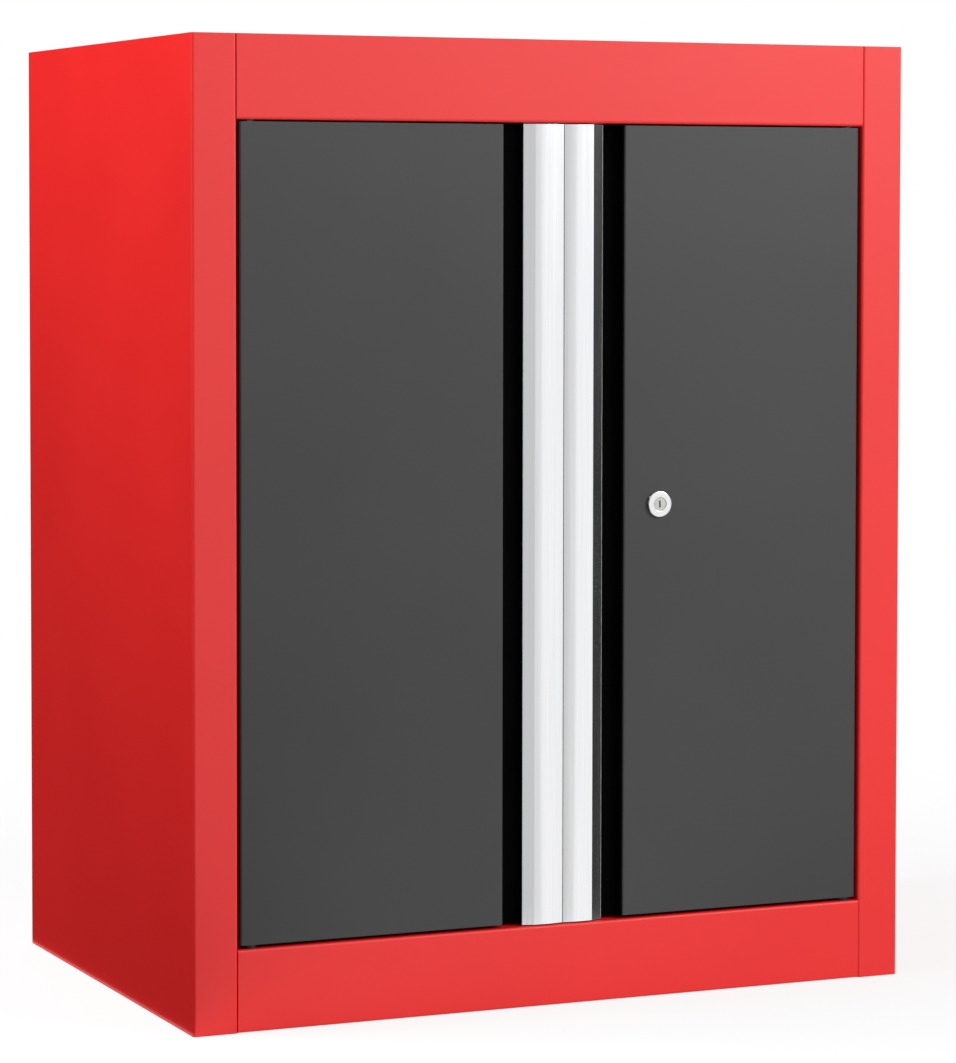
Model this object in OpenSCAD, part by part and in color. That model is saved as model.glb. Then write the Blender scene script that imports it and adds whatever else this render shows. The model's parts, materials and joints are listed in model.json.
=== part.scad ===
// Steel tool cabinet with two hinged doors. Origin: middle of the footprint, on the floor.
// +X to the right as seen from the front, +Y to the back, +Z up.

/* [Body] */
// Overall width across the side panels
body_w = 680; // [560:5:900]
// Depth of the shell, from the face of the front frame to the back
body_d = 460; // [360:5:620]
// Overall height
body_h = 845; // [640:5:1100]
// Thickness of the shell's sheet
shell_t = 1.2; // [1:0.1:2]

/* [Front frame] */
// Width of each front post
post_w = 40; // [34:1:60]
// Height of the top front rail
top_rail_h = 72; // [50:1:110]
// Height of the bottom front rail
bottom_rail_h = 71; // [60:1:110]
// Distance from the frame's face to the surfaces that the doors close against
stop_depth = 30; // [29.5:0.5:36]
// Outer radius of the folded edges of the shell
fold_r = 2.4; // [2.1:0.1:4]

/* [Doors] */
// Thickness of a door
door_t = 24; // [24:0.5:26]
// How far the door faces lie behind the frame's face
door_recess = 2; // [1:0.5:3]
// Gap between a door and its post
hinge_gap = 3; // [2.5:0.5:6]
// Gap above the doors
top_gap = 1.5; // [1.5:0.5:4]
// Gap below the doors
bottom_gap = 3; // [2.5:0.5:5]
// Gap between the two doors
meet_gap = 3; // [2:0.5:5]
// How far right of the middle the doors meet
meet_offset = 4.5; // [-10:0.5:10]
// Thickness of the doors' sheet
door_sheet = 1; // [0.8:0.1:1.2]
// Outer radius of the folded edges of the doors
door_fold_r = 1.9; // [1.6:0.1:3]

/* [Handle strips] */
// How far the handle strips stand out in front of the doors' faces
handle_out = 1; // [0:0.5:6]
// Gap between the ends of the handle strips and the rails
strip_end_gap = 1; // [1:0.5:3]
// Width of a strip's face, from the middle of the meeting gap
handle_face = 28; // [24:0.5:34]
// Width of the bevelled grip lip beside the face
grip_lip = 10.5; // [8:0.5:14]
// Width of the open finger channel beside the lip
finger_gap = 19.3; // [16:0.1:28]
// Depth of the finger channel below the frame's face
channel_depth = 14; // [12:0.5:15]
// Gap between the two strips' faces
strip_gap = 0.5; // [0.4:0.1:2]
// Wall of the aluminium extrusion
strip_wall = 1.8; // [1.4:0.1:2.4]
// Thickness of the black channel liner
liner_t = 1.5; // [1:0.1:2]

/* [Hinges] */
// Distance from the pivot to the door's hinge edge
pivot_in = 10; // [9:0.5:12]
// Distance from the pivot to the door's face
pivot_back = 7; // [6:0.5:8]
// Diameter of the pivot pins
pin_d = 8; // [6:0.5:8]
// Clearance round a turning pin, on the radius
run_clear = 0.08; // [0.04:0.01:0.1]
// Wall of the hinge bushes
bush_wall = 2; // [1.5:0.25:2.5]

/* [Lock] */
// Distance from the meeting line to the lock
lock_in = 92.5; // [90:0.5:130]
// Height of the lock above the floor
lock_z = 438; // [380:1:500]
// Outer diameter of the lock's ring
lock_ring_d = 23; // [21:0.5:26]
// Diameter of the lock's barrel
lock_barrel_d = 18; // [17:0.5:19]
// Diameter of the turning plug
plug_d = 12; // [11:0.5:13]
// Radius at which the crank pins drive the rods
crank_r = 14; // [14:0.5:15]
// Diameter of the crank pins
crank_pin_d = 4; // [3:0.5:4]
// Clearance between a crank pin and its slot, over the whole turn
crank_clear = 0.65; // [0.6:0.05:0.8]
// Width of the lock rods and the latch bar
rod_w = 8; // [7:0.5:9]
// Thickness of the lock rods and the latch bar
rod_t = 2; // [1.5:0.1:2.2]
// Clearance round a rod where it slides
rod_clear = 0.4; // [0.3:0.05:0.6]

/* [Inside] */
// Height of the shelf's top above the floor
shelf_z = 430; // [300:5:520]
// Depth of the folds along the shelf's front and back edges
shelf_fold = 25; // [16:1:35]
// Gap between the shelf and the slotted strips
shelf_gap = 3; // [2:0.5:6]
// Width of the slotted shelf strips
strip_w = 24; // [20:1:30]
// Depth of the slotted shelf strips
strip_d = 8; // [6:0.5:12]
// Spacing of the slots in the shelf strips
slot_pitch = 40; // [25:5:60]

/* [Feet] */
// Diameter of a levelling foot's sole
foot_d = 38; // [30:1:44]
// Thickness of a sole
sole_t = 6; // [5:0.5:8]
// Diameter of a foot's stud
stud_d = 10; // [8:1:12]
// Distance from the cabinet's side to a foot
foot_in = 45; // [40:1:60]
// Distance from the frame's face, and from the back, to a foot
foot_back = 75; // [72:1:100]

/* [Wall fixing] */
// Spacing of the two wall-fixing holes
wall_spacing = 440; // [300:10:480]
// Diameter of the wall-fixing holes
wall_hole_d = 9; // [6:0.5:11]
// Distance from the top down to the wall-fixing holes
wall_drop = 40; // [34:1:50]

/* [Hidden] */
$fn = 48;

// Colours
red = [0.86, 0.13, 0.13];
charcoal = [0.26, 0.26, 0.27];
black = [0.03, 0.03, 0.03];
aluminium = [0.84, 0.85, 0.86];
steel = [0.62, 0.63, 0.65];
nylon = [0.08, 0.08, 0.08];

// Overall places
LEFT = -1;
RIGHT = 1;
proud = max(0, handle_out - door_recess);
front_y = (proud - body_d) / 2;
half_w = body_w / 2;
half_open = half_w - post_w;
open_top = body_h - top_rail_h;
overcut = 1;

// Shell
rear_fold = 22;
rear_seam = 0.5;
top_fold = 18;
post_return = 24;
top_rail_depth = 70;
bottom_rail_depth = 45;
rail_lip = 15;
rail_tab = 20;
bottom_fold = 28;
back_inset = 1.5;
floor_step = 12;
floor_z = bottom_rail_h + floor_step;
floor_fold = 20;
floor_gap = 0.5;
stiffener_h = 60;
stiffener_fold = 25;

// Doors, in a frame whose X runs from the meeting line towards the hinge
door_z0 = bottom_rail_h + bottom_gap;
door_z1 = open_top - top_gap;
door_h = door_z1 - door_z0;
door_face = door_recess;
door_back = door_recess + door_t;
door_meet = meet_gap / 2;
channel_edge = handle_face + grip_lip + finger_gap;
inner_fold = 4;
pivot_y = door_recess + pivot_back;

function door_hinge(side) = half_open - hinge_gap - side * meet_offset;
function pivot_x(side) = door_hinge(side) - pivot_in;

// How far the crowned face of a strip falls away at the distance x from the meeting line
function crown_drop(x) = crown_r - sqrt(pow(crown_r, 2) - pow(x - crown_mid, 2));

// Handle strip
liner_rim = 0.6;
liner_r = 2.1;
face_over = 2;
base_w = handle_face - face_over;
strip_front = door_face - handle_out;
crown_r = 82;
crown_mid = 17;
strip_z0 = bottom_rail_h + strip_end_gap;
strip_z1 = open_top - strip_end_gap;
strip_meet = strip_gap / 2;
strip_shoulder = strip_front + crown_drop(handle_face);
strip_low = strip_front + crown_drop(strip_meet);
lip_drop = 3;
lip_t = 1.4;
plug_len = 8;
handle_screw_d = 4;
handle_screw_head = 7.5;
handle_screw_count = 5;
handle_screw_end = 40;
handle_screw_head_t = 2;
handle_screw_tail = 1;
screw_clear = 0.1;

// Hinges
pin_grip = 24;
pin_reach = 6;
bush_len = 6;
bush_rim = 1;
bush_flange_r = pin_d / 2 + bush_wall + bush_rim;
bush_flange_t = 1;
bracket_t = 3;
bracket_w = 22;
bracket_clear = 0.2;

// Catches and bumpers
catch_in = 45;
catch_size = [48, 24, 13];
magnet_size = [36, 4.5, 8];
magnet_out = 1;
strike_t = 1;
strike_size = [42, 14];
strike_drop = 2;
bumper_d = 8;
bumper_clear = 0.3;

// Lock
lock_ring_out = 3;
ring_chamfer = 0.8;
barrel_end = 15;
nut_across = 24;
nut_t = 5;
cam_t = 2;
cam_gap = 0.4;
cam_rim = 3;
cam_r = crank_r + crank_pin_d / 2 + cam_rim;
tang = 6;
tang_clear = 0.05;
rod_y = 18;
pin_past = 0.4;
pin_end = rod_y + rod_t + pin_past;
crank_lo = crank_r * cos(45);
rod_gap = 1;
rod_in = crank_r + crank_pin_d / 2 + rod_gap;
rod_mid = rod_in + rod_w / 2;
slot_half = crank_pin_d / 2 + crank_clear;
slot_end_clear = 0.4;
head_wall = 2;
rod_tip_back = 0.5;
key_slot = [1.6, 6, 2];
guide_size = [18, 12];
keeper_t = 2;

// Shelf strips and clips
standard_x = half_w - shell_t;
standard_low = 10;
standard_high = 10;
standard_z0 = floor_z + standard_low;
standard_z1 = open_top + standard_high;
standard_t = 1.5;
standard_r = 2;
standard_inset = 45;
slot_size = [10, 5];
shelf_t = 1.2;
clip_ledge = 14;
clip_t = 2;
clip_h = 18;

function standard_ys() = [stop_depth + standard_inset, body_d - 2 * standard_inset];

// ---- Sheet metal helpers ----

// One straight run of folded sheet in plan, shortened by a and b at its ends
module run_2d(p, q, t, a, b) {
    d = q - p;
    len = norm(d);
    translate(p)
        rotate(atan2(d[1], d[0]))
            translate([a, -t / 2])
                square([len - a - b, t]);
}

// A quarter-round fold between the runs p-q and q-r
module bend_2d(p, q, r, t, outer) {
    u = (q - p) / norm(q - p);
    v = (r - q) / norm(r - q);
    mid = outer - t / 2;
    centre = q - u * mid + v * mid;
    corner = centre + (u - v) * outer;
    intersection() {
        translate(centre)
            difference() {
                circle(r = outer);
                circle(r = outer - t);
            }
        translate([min(centre[0], corner[0]), min(centre[1], corner[1])])
            square([abs(corner[0] - centre[0]), abs(corner[1] - centre[1])]);
    }
}

// Section of a sheet folded at right angles along the middle line pts
module folded_2d(pts, t, outer) {
    last = len(pts) - 1;
    mid = outer - t / 2;
    for (i = [0 : last - 1])
        run_2d(pts[i], pts[i + 1], t, i == 0 ? 0 : mid, i == last - 1 ? 0 : mid);
    for (i = [1 : last - 1])
        bend_2d(pts[i - 1], pts[i], pts[i + 1], t, outer);
}

// A section drawn in Y and Z, carried along X from x0 to x1
module along_x(x0, x1) {
    translate([x0, 0, 0])
        rotate([90, 0, 90])
            linear_extrude(x1 - x0)
                children();
}

// A box given by its lowest and highest corners
module box(lo, hi) {
    translate(lo)
        cube(hi - lo);
}

// Depths measured from the frame's face
module from_front() {
    translate([0, front_y, 0])
        children();
}

// Drawn for the right-hand side and mirrored for the left
module on_side(side) {
    mirror([side < 0 ? 1 : 0, 0, 0])
        children();
}

// A door's own frame: X from the meeting line to the hinge, Y from the frame's face
module on_door(side) {
    translate([meet_offset, front_y, 0])
        on_side(side)
            children();
}

// The lock's own frame: X and Z from its axis, Y from the frame's face
module on_lock() {
    on_door(RIGHT)
        translate([lock_in, 0, lock_z])
            children();
}

// A cylinder along +Y
module rod_y(r, y0, y1) {
    translate([0, y0, 0])
        rotate([-90, 0, 0])
            cylinder(r = r, h = y1 - y0);
}

// ---- Shell ----

module side_panel(side) {
    wall = half_w - shell_t / 2;
    inner = half_open + shell_t / 2;
    rear = body_d - shell_t * 1.5;
    closing = stop_depth - shell_t / 2;
    color(red)
        from_front()
            difference() {
                on_side(side) {
                    linear_extrude(body_h)
                        folded_2d([[half_w - rear_fold, rear], [wall, rear], [wall, shell_t / 2],
                                   [inner, shell_t / 2], [inner, closing],
                                   [half_open + post_return, closing]], shell_t, fold_r);
                    box([half_w - top_fold, stop_depth, body_h - 2 * shell_t],
                        [half_w - shell_t, body_d - 2 * shell_t, body_h - shell_t]);
                }
                top_sheet();
                rivet_holes();
            }
}

module left_side_panel() { side_panel(LEFT); }
module right_side_panel() { side_panel(RIGHT); }

module wall_holes() {
    for (x = [-wall_spacing / 2, wall_spacing / 2])
        translate([x, 0, body_h - wall_drop])
            rod_y(wall_hole_d / 2, body_d - stiffener_fold, body_d + overcut);
}

rivet_in = 12;
rivet_r = 2;
rivet_tail_r = 3;
rivet_tail_t = 1;
rivet_rows = 5;

// Each rivet's centre line, on the rear folds of the side panels
module rivet_places() {
    for (side = [LEFT, RIGHT], i = [0.5 : rivet_rows])
        translate([side * (half_w - rivet_in), 0, i * body_h / rivet_rows])
            children();
}

module rivet_holes() {
    rivet_places()
        rod_y(rivet_r, body_d - 3 * shell_t, body_d + overcut);
}

module back_panel() {
    color(red)
        from_front()
            difference() {
                box([-half_w + back_inset, body_d - shell_t, back_inset],
                    [half_w - back_inset, body_d, body_h - shell_t]);
                wall_holes();
                rivet_holes();
            }
}

module back_rivets() {
    color(steel)
        from_front()
            rivet_places() {
                rod_y(rivet_r, body_d - 2 * shell_t, body_d);
                rod_y(rivet_tail_r, body_d - 2 * shell_t - rivet_tail_t, body_d - 2 * shell_t);
            }
}

module top_sheet() {
    box([-half_w + shell_t, shell_t, body_h - shell_t], [half_w - shell_t, body_d, body_h]);
}

module top_panel() {
    color(red)
        from_front()
            top_sheet();
}

// Slot for a lock rod, through the flange of a rail
module rod_slot(x, z0, z1, clear) {
    box([x - rod_w / 2 - clear, rod_y - clear, z0],
        [x + rod_w / 2 + clear, rod_y + rod_t + clear, z1]);
}

upper_rod_x = meet_offset + lock_in + rod_mid;
lower_rod_x = meet_offset + lock_in - rod_mid;
flange_clear = 1;

module bush_holes(z0, z1) {
    for (side = [LEFT, RIGHT])
        translate([meet_offset + side * pivot_x(side), pivot_y, z0])
            cylinder(r = pin_d / 2 + bush_wall, h = z1 - z0);
}

// Tabs at the ends of a rail, welded to the posts
module rail_tabs(z0, z1) {
    for (side = [LEFT, RIGHT])
        on_side(side)
            box([half_open - shell_t, shell_t / 2, z0], [half_open, rail_tab, z1]);
}

module top_front_rail() {
    z = open_top + shell_t / 2;
    lip = top_rail_depth - shell_t / 2;
    color(red)
        from_front()
            difference() {
                union() {
                    along_x(-half_open, half_open) {
                        folded_2d([[shell_t / 2, body_h], [shell_t / 2, z], [lip, z],
                                   [lip, z + rail_lip]], shell_t, fold_r);
                        translate([shell_t / 2, body_h - 2 * shell_t])
                            square([bottom_rail_depth, shell_t]);
                    }
                    rail_tabs(z, body_h - 1.5 * shell_t);
                }
                bush_holes(open_top - overcut, open_top + 2 * shell_t);
                rod_slot(upper_rod_x, open_top - overcut, open_top + 2 * shell_t, flange_clear);
                catch_screw_places()
                    cylinder(r = catch_screw_r, h = 3 * shell_t, center = true);
            }
}

module bottom_front_rail() {
    z = bottom_rail_h - shell_t / 2;
    lip = bottom_rail_depth - shell_t / 2;
    color(red)
        from_front()
            difference() {
                union() {
                    along_x(-half_open, half_open)
                        folded_2d([[bottom_fold, shell_t / 2], [shell_t / 2, shell_t / 2],
                                   [shell_t / 2, z], [lip, z], [lip, z - rail_lip]],
                                  shell_t, fold_r);
                    rail_tabs(shell_t, z);
                }
                bush_holes(bottom_rail_h - 2 * shell_t, bottom_rail_h + overcut);
                rod_slot(lower_rod_x, bottom_rail_h - 2 * shell_t, bottom_rail_h + overcut,
                         flange_clear);
            }
}

module floor_panel() {
    edge = half_w - shell_t;
    rear = body_d - 2 * shell_t - rivet_tail_t - floor_gap;
    z = floor_z - shell_t / 2;
    color(red)
        from_front() {
            along_x(-edge, edge)
                folded_2d([[stop_depth + shell_t / 2, bottom_rail_h],
                           [stop_depth + shell_t / 2, z], [rear, z]], shell_t, fold_r);
            for (side = [LEFT, RIGHT])
                on_side(side)
                    box([edge - shell_t, bottom_rail_depth + floor_gap, floor_z - floor_fold],
                        [edge, rear - stiffener_fold - floor_gap, floor_z - shell_t / 2]);
        }
}

// Channel section along the inside of the back, its open side to the front
module rear_channel(z0, z1) {
    edge = half_w - rear_fold - rear_seam;
    web = body_d - shell_t * 1.5;
    tip = body_d - shell_t - stiffener_fold;
    along_x(-edge, edge)
        folded_2d([[tip, z1 - shell_t / 2], [web, z1 - shell_t / 2],
                   [web, z0 + shell_t / 2], [tip, z0 + shell_t / 2]], shell_t, fold_r);
}

module rear_top_stiffener() {
    color(red)
        from_front()
            difference() {
                rear_channel(body_h - shell_t - stiffener_h, body_h - shell_t);
                wall_holes();
            }
}

module rear_base_stiffener() {
    color(red)
        from_front()
            rear_channel(0, floor_z - shell_t);
}

// ---- Feet ----

bracket_z = 40;
foot_bracket_t = 3;
foot_bracket_h = 25;
foot_nut_t = 8;
foot_nut_d = 18;
stud_spare = 20;
stud_top = bracket_z + foot_nut_t + stud_spare;
bracket_len = 60;

function foot_y(front) = front > 0 ? foot_back : body_d - foot_back;

module at_foot(side, front) {
    from_front()
        translate([side * (half_w - foot_in), foot_y(front), 0])
            children();
}

module at_feet() {
    for (side = [LEFT, RIGHT], front = [1, -1])
        at_foot(side, front)
            on_side(side)
                children();
}

module foot_brackets() {
    wall = foot_in - shell_t;
    color(steel)
        at_feet()
            difference() {
                union() {
                    box([-foot_d / 2, -bracket_len / 2, bracket_z],
                        [wall, bracket_len / 2, bracket_z + foot_bracket_t]);
                    box([wall - foot_bracket_t, -bracket_len / 2,
                         bracket_z + foot_bracket_t - foot_bracket_h],
                        [wall, bracket_len / 2, bracket_z]);
                }
                translate([0, 0, bracket_z - overcut])
                    cylinder(r = stud_d / 2 + run_clear, h = foot_bracket_t + 2 * overcut);
            }
}

module foot_nuts() {
    color(steel)
        at_feet()
            translate([0, 0, bracket_z + foot_bracket_t])
                difference() {
                    cylinder(d = foot_nut_d, h = foot_nut_t, $fn = 6);
                    translate([0, 0, -overcut])
                        cylinder(r = stud_d / 2 + run_clear, h = foot_nut_t + 2 * overcut);
                }
}

sole_chamfer = 1;
stud_chamfer = 1;

module foot(side, front) {
    color(black)
        at_foot(side, front)
            rotate_extrude()
                polygon([[0, 0], [foot_d / 2, 0], [foot_d / 2, sole_t - sole_chamfer],
                         [foot_d / 2 - sole_chamfer, sole_t], [stud_d / 2, sole_t],
                         [stud_d / 2, stud_top - stud_chamfer],
                         [stud_d / 2 - stud_chamfer, stud_top], [0, stud_top]]);
}

module front_left_foot() { foot(LEFT, 1); }
module front_right_foot() { foot(RIGHT, 1); }
module rear_left_foot() { foot(LEFT, -1); }
module rear_right_foot() { foot(RIGHT, -1); }

// ---- Shelf ----

slot_count = floor((standard_z1 - standard_z0 - 2 * slot_size[1]) / slot_pitch);

module standard(y) {
    face = standard_x - strip_d + standard_t / 2;
    difference() {
        translate([0, 0, standard_z0])
            linear_extrude(standard_z1 - standard_z0)
                folded_2d([[standard_x, y - strip_w / 2 + standard_t / 2],
                           [face, y - strip_w / 2 + standard_t / 2],
                           [face, y + strip_w / 2 - standard_t / 2],
                           [standard_x, y + strip_w / 2 - standard_t / 2]],
                          standard_t, standard_r);
        for (i = [0 : slot_count])
            slot_at(y, i, 0);
    }
}

// The opening of slot i, made smaller all round by shrink
module slot_at(y, i, shrink) {
    z = clip_z + (i - clip_slot) * slot_pitch;
    if (z > standard_z0 + slot_size[1] && z < standard_z1 - slot_size[1])
        box([standard_x - strip_d - overcut, y - slot_size[0] / 2 + shrink,
             z - slot_size[1] / 2 + shrink],
            [standard_x - strip_d + standard_t + overcut, y + slot_size[0] / 2 - shrink,
             z + slot_size[1] / 2 - shrink]);
}

clip_z = shelf_z - shelf_t - clip_t - clip_h / 2;
clip_slot = floor((clip_z - standard_z0) / slot_pitch);
clip_shrink = 0.3;

module shelf_standards(side) {
    color(steel)
        from_front()
            on_side(side)
                for (y = standard_ys())
                    standard(y);
}

module left_shelf_standards() { shelf_standards(LEFT); }
module right_shelf_standards() { shelf_standards(RIGHT); }

shelf_front_gap = 20;
shelf_rear_gap = 40;

module shelf_clips() {
    face = standard_x - strip_d;
    color(steel)
        from_front()
            for (side = [LEFT, RIGHT], y = standard_ys())
                on_side(side) {
                    box([face - clip_t, y - slot_size[0] / 2, shelf_z - shelf_t - clip_h],
                        [face, y + slot_size[0] / 2, shelf_z - shelf_t]);
                    box([face - clip_ledge, y - slot_size[0] / 2, shelf_z - shelf_t - clip_t],
                        [face, y + slot_size[0] / 2, shelf_z - shelf_t]);
                    intersection() {
                        slot_at(y, clip_slot, clip_shrink);
                        box([face - overcut, 0, 0], [standard_x, body_d, body_h]);
                    }
                }
}

shelf_front = stop_depth + shelf_front_gap;
shelf_rear = body_d - shelf_rear_gap;
shelf_return = 10;

module shelf() {
    edge = half_w - shell_t - strip_d - shelf_gap;
    z = shelf_z - shelf_t / 2;
    low = shelf_z - shelf_fold;
    color(steel)
        from_front()
            along_x(-edge, edge)
                folded_2d([[shelf_front + shelf_return, low], [shelf_front, low], [shelf_front, z],
                           [shelf_rear, z], [shelf_rear, low], [shelf_rear - shelf_return, low]],
                          shelf_t, fold_r);
}

stiffener_w = 50;
stiffener_d = 12;
stiffener_tab = 12;
stiffener_end_gap = 10;

module shelf_stiffener() {
    edge = half_w - shell_t - strip_d - shelf_gap - clip_ledge - stiffener_end_gap;
    mid = (shelf_front + shelf_rear) / 2;
    top = shelf_z - shelf_t * 1.5;
    low = top - stiffener_d;
    color(steel)
        from_front()
            along_x(-edge, edge)
                folded_2d([[mid - stiffener_w / 2 - stiffener_tab, top],
                           [mid - stiffener_w / 2, top], [mid - stiffener_w / 2, low],
                           [mid + stiffener_w / 2, low], [mid + stiffener_w / 2, top],
                           [mid + stiffener_w / 2 + stiffener_tab, top]], shelf_t, fold_r);
}

// ---- Hinge bushes, catches, bumpers and keepers on the shell ----

// Flanged bush with its flange on z = 0 and its barrel upwards
module bush() {
    rotate_extrude()
        polygon([[pin_d / 2 + run_clear, -bush_flange_t], [bush_flange_r, -bush_flange_t],
                 [bush_flange_r, 0], [pin_d / 2 + bush_wall, 0],
                 [pin_d / 2 + bush_wall, bush_len], [pin_d / 2 + run_clear, bush_len]]);
}

module hinge_bushes() {
    color(nylon)
        for (side = [LEFT, RIGHT])
            on_door(side)
                translate([pivot_x(side), pivot_y, 0]) {
                    translate([0, 0, open_top])
                        bush();
                    translate([0, 0, bottom_rail_h])
                        mirror([0, 0, 1])
                            bush();
                }
}

catch_screw_r = 1.8;
catch_screw_spacing = 32;
catch_screw_head_r = 3.4;
catch_screw_head_t = 2;
catch_screw_back = 17;

// The middles of the two catches, on the underside of the top rail's flange
function catch_xs() = [for (side = [LEFT, RIGHT]) meet_offset + side * (channel_edge + catch_in)];

module catch_screw_places() {
    for (x = catch_xs(), dx = [-catch_screw_spacing / 2, catch_screw_spacing / 2])
        translate([x + dx, catch_face + catch_screw_back, open_top])
            children();
}

module catch_body() {
    translate([-catch_size[0] / 2, catch_face, -catch_size[2]])
        cube(catch_size);
}

catch_face = door_back + strike_t + magnet_out + bumper_clear;

module catch_housings() {
    color(black)
        from_front()
            difference() {
                for (x = catch_xs())
                    translate([x, 0, open_top])
                        catch_body();
                for (x = catch_xs())
                    translate([x - magnet_size[0] / 2, catch_face - overcut,
                               open_top - strike_mid - magnet_size[2] / 2])
                        cube(magnet_size + [0, overcut - magnet_out, 0]);
                catch_screw_places()
                    cylinder(r = catch_screw_r, h = 2 * catch_size[2], center = true);
            }
}

strike_mid = top_gap + strike_drop + magnet_size[2] / 2;

module catch_magnets() {
    color(steel)
        from_front()
            for (x = catch_xs())
                translate([x - magnet_size[0] / 2, catch_face - magnet_out,
                           open_top - strike_mid - magnet_size[2] / 2])
                    cube(magnet_size);
}

module catch_screws() {
    color(steel)
        from_front()
            catch_screw_places() {
                translate([0, 0, -catch_size[2]])
                    cylinder(r = catch_screw_r - screw_clear, h = catch_size[2] + shell_t);
                translate([0, 0, shell_t])
                    cylinder(r = catch_screw_head_r, h = catch_screw_head_t);
            }
}

bumper_in = 60;

module door_bumpers() {
    color(black)
        from_front()
            for (side = [LEFT, RIGHT], x = [channel_edge, door_hinge(side) - bumper_in])
                translate([meet_offset + side * x, 0, floor_z - fold_r - bumper_d / 2])
                    rod_y(bumper_d / 2, door_back + bumper_clear, stop_depth);
}

keeper_size = [22, 14];

module keeper(x, z) {
    difference() {
        translate([x - keeper_size[0] / 2, rod_y + rod_t / 2 - keeper_size[1] / 2, z])
            cube([keeper_size[0], keeper_size[1], keeper_t]);
        rod_slot(x, z - overcut, z + keeper_t + overcut, rod_clear);
    }
}

module lock_keepers() {
    color(steel)
        from_front() {
            keeper(upper_rod_x, open_top + shell_t);
            keeper(lower_rod_x, bottom_rail_h - shell_t - keeper_t);
        }
}

// ---- Doors ----

// Outline of a door in plan, with the finger channel sunk into its face
module door_outline(side) {
    polygon([[door_hinge(side), door_face], [door_hinge(side), door_back],
             [door_meet, door_back], [door_meet, channel_depth],
             [channel_edge + door_sheet, channel_depth], [channel_edge + door_sheet, door_face]]);
}

module pivot_bore(side, clear) {
    translate([pivot_x(side), pivot_y, 0])
        cylinder(r = pin_d / 2 + clear, h = body_h);
}

latch_z = lock_z + rod_mid;
latch_rest = door_meet + door_sheet + rod_tip_back;

// Opening for the latch bar through a door's meeting edge
module latch_slot(clear) {
    box([-overcut, rod_y - clear, latch_z - rod_w / 2 - clear],
        [door_meet + door_sheet + keeper_t + overcut, rod_y + rod_t + clear,
         latch_z + rod_w / 2 + clear]);
}

module handle_screw_places() {
    step = (door_h - 2 * handle_screw_end) / (handle_screw_count - 1);
    for (i = [0 : handle_screw_count - 1])
        translate([base_w / 2, 0, door_z0 + handle_screw_end + i * step])
            children();
}

module door_skin(side) {
    hinge = door_hinge(side) - door_sheet / 2;
    face = door_face + door_sheet / 2;
    floor_y = channel_depth + door_sheet / 2;
    edge = channel_edge + door_sheet / 2;
    meet = door_meet + door_sheet / 2;
    color(charcoal)
        on_door(side)
            difference() {
                union() {
                    translate([0, 0, door_z0])
                        linear_extrude(door_h)
                            folded_2d([[hinge, door_back], [hinge, face], [edge, face],
                                       [edge, floor_y], [meet, floor_y], [meet, door_back]],
                                      door_sheet, door_fold_r);
                    for (z = [door_z0, door_z1 - door_sheet])
                        translate([0, 0, z])
                            linear_extrude(door_sheet)
                                intersection() {
                                    door_outline(side);
                                    end_wall_2d(side);
                                }
                }
                pivot_bore(side, 0);
                handle_screw_places()
                    rod_y(handle_screw_d / 2 + screw_clear, channel_depth - overcut,
                          channel_depth + door_sheet + overcut);
                latch_slot(flange_clear);
                if (side == RIGHT) {
                    translate([lock_in, 0, lock_z])
                        rod_y(lock_barrel_d / 2 + screw_clear, 0, door_face + 2 * door_sheet);
                    rod_slot(lock_in + rod_mid, door_z1 - 2 * door_sheet, door_z1 + overcut,
                             flange_clear);
                    rod_slot(lock_in - rod_mid, door_z0 - overcut, door_z0 + 2 * door_sheet,
                             flange_clear);
                }
            }
}

// The end walls stay inside the rounded folds of the face
module end_wall_2d(side) {
    inset = door_fold_r * (1 - cos(45));
    translate([door_meet + inset, door_face + inset])
        square([door_hinge(side) - door_meet - 2 * inset, door_t - inset]);
}

module left_door_skin() { door_skin(LEFT); }
module right_door_skin() { door_skin(RIGHT); }

module door_inner_panel(side) {
    x0 = door_meet + door_sheet;
    x1 = door_hinge(side) - door_sheet;
    z0 = door_z0 + door_sheet;
    z1 = door_z1 - door_sheet;
    color(charcoal)
        on_door(side)
            difference() {
                box([x0, door_back - inner_fold, z0], [x1, door_back, z1]);
                box([x0 + door_sheet, door_back - inner_fold - overcut, z0 + door_sheet],
                    [x1 - door_sheet, door_back - door_sheet, z1 - door_sheet]);
            }
}

module left_door_inner_panel() { door_inner_panel(LEFT); }
module right_door_inner_panel() { door_inner_panel(RIGHT); }

module finger_channel(side) {
    floor_y = channel_depth - liner_t / 2;
    wall = channel_edge - liner_t / 2;
    color(black)
        on_door(side)
            translate([0, 0, door_z0])
                linear_extrude(door_h)
                    folded_2d([[base_w, floor_y], [wall, floor_y], [wall, door_face + liner_rim]],
                              liner_t, liner_r);
}

module left_finger_channel() { finger_channel(LEFT); }
module right_finger_channel() { finger_channel(RIGHT); }

// Section of the handle strip: a hollow base, a crowned face and a bevelled grip lip
module handle_2d() {
    tip = [handle_face + grip_lip - lip_t / 2, strip_shoulder + lip_drop];
    difference() {
        union() {
            translate([strip_meet, strip_low])
                square([base_w - strip_meet, channel_depth - strip_low]);
            intersection() {
                translate([crown_mid, strip_front + crown_r])
                    circle(r = crown_r, $fn = 360);
                translate([strip_meet, strip_front])
                    square([handle_face - strip_meet, strip_low - strip_front + strip_wall]);
            }
            polygon([[handle_face, strip_shoulder], tip, tip + [0, lip_t],
                     [handle_face, strip_shoulder + lip_t]]);
            translate(tip + [0, lip_t / 2])
                circle(r = lip_t / 2);
        }
        translate([strip_meet + strip_wall, strip_low + strip_wall])
            square([base_w - strip_meet - 2 * strip_wall,
                    channel_depth - strip_low - 2 * strip_wall]);
    }
}

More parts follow.
